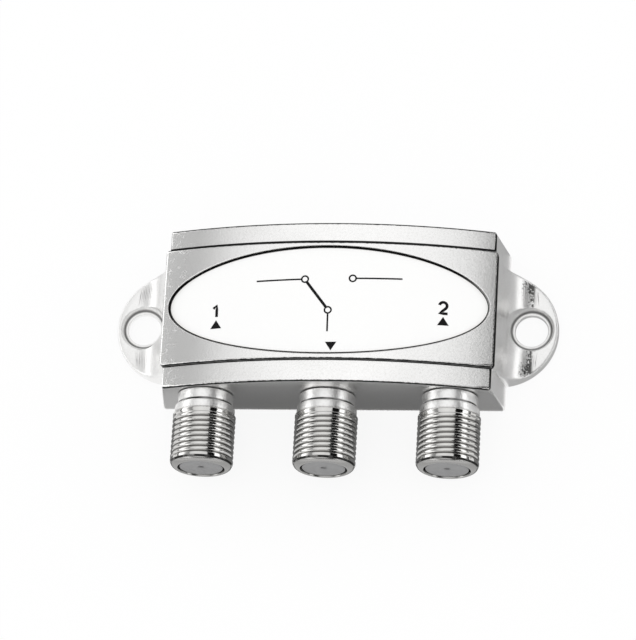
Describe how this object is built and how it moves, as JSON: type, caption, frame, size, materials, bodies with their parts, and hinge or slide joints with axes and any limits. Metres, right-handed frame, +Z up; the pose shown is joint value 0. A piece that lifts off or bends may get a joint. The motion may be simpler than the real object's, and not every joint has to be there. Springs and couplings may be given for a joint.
{
  "type": "satellite switch",
  "caption": "Die-cast satellite switch: low arched box with threaded coaxial ports along its front wall, sunk screw ears at both ends and an oval label in a raised panel.",
  "frame": {"origin": "on the foot plane, midway between the two ear holes", "axes": "+X along the line of the ear holes, to the right with the ports facing the viewer; ports face -Y; +Z up out of the label"},
  "size_m": [0.0676, 0.0368, 0.0143],
  "materials": {
    "plated_casting": "satin",
    "plated_brass": "polished",
    "label_film": "satin",
    "grey_plastic": "satin",
    "tinned_steel": "satin",
    "seal_rubber": "matte",
    "contact_bronze": "satin",
    "board_laminate": "satin",
    "plated_screw": "satin",
    "solder": "gloss",
    "black_package": "matte",
    "ferrite": "satin",
    "capacitor_can": "satin",
    "pale_ceramic": "matte",
    "tan_ceramic": "matte",
    "dark_ceramic": "matte"
  },
  "bodies": {
    "switch": {"housing": "plated_casting", "label": "label_film", "rear_plate": "tinned_steel", "plate_seal": "seal_rubber", "port_barrel_1": "plated_brass", "port_barrel_2": "plated_brass", "port_barrel_3": "plated_brass", "port_insulator_1": "grey_plastic", "port_insulator_2": "grey_plastic", "port_insulator_3": "grey_plastic", "contact_base_1": "contact_bronze", "contact_base_2": "contact_bronze", "contact_base_3": "contact_bronze", "circuit_board": "board_laminate", "board_screws": "plated_screw", "tail_solder": "solder", "control_chip": "black_package", "regulator": "black_package", "switching_diodes": "black_package", "driver_transistors": "black_package", "chokes": "ferrite", "storage_capacitor": "capacitor_can", "resonator": "pale_ceramic", "chip_capacitors": "tan_ceramic", "chip_resistors": "dark_ceramic"},
    "leaf_1_right": {"contact_leaf_1_right": "contact_bronze"},
    "leaf_1_left": {"contact_leaf_1_left": "contact_bronze"},
    "leaf_2_right": {"contact_leaf_2_right": "contact_bronze"},
    "leaf_2_left": {"contact_leaf_2_left": "contact_bronze"},
    "leaf_3_right": {"contact_leaf_3_right": "contact_bronze"},
    "leaf_3_left": {"contact_leaf_3_left": "contact_bronze"}
  },
  "joints": [
    {"name": "leaf_1_right_spread", "type": "hinge", "parent": "switch", "child": "leaf_1_right", "pos_m": [-0.01755, -0.01335, 0.0064], "axis": [0, 0, 1], "range_deg": [0, 4], "stiffness_Nm_per_rad": 0.06},
    {"name": "leaf_1_left_spread", "type": "hinge", "parent": "switch", "child": "leaf_1_left", "pos_m": [-0.01945, -0.01335, 0.0064], "axis": [0, 0, -1], "range_deg": [0, 4], "stiffness_Nm_per_rad": 0.06},
    {"name": "leaf_2_right_spread", "type": "hinge", "parent": "switch", "child": "leaf_2_right", "pos_m": [0.00095, -0.01335, 0.0064], "axis": [0, 0, 1], "range_deg": [0, 4], "stiffness_Nm_per_rad": 0.06},
    {"name": "leaf_2_left_spread", "type": "hinge", "parent": "switch", "child": "leaf_2_left", "pos_m": [-0.00095, -0.01335, 0.0064], "axis": [0, 0, -1], "range_deg": [0, 4], "stiffness_Nm_per_rad": 0.06},
    {"name": "leaf_3_right_spread", "type": "hinge", "parent": "switch", "child": "leaf_3_right", "pos_m": [0.01945, -0.01335, 0.0064], "axis": [0, 0, 1], "range_deg": [0, 4], "stiffness_Nm_per_rad": 0.06},
    {"name": "leaf_3_left_spread", "type": "hinge", "parent": "switch", "child": "leaf_3_left", "pos_m": [0.01755, -0.01335, 0.0064], "axis": [0, 0, -1], "range_deg": [0, 4], "stiffness_Nm_per_rad": 0.06}
  ]
}
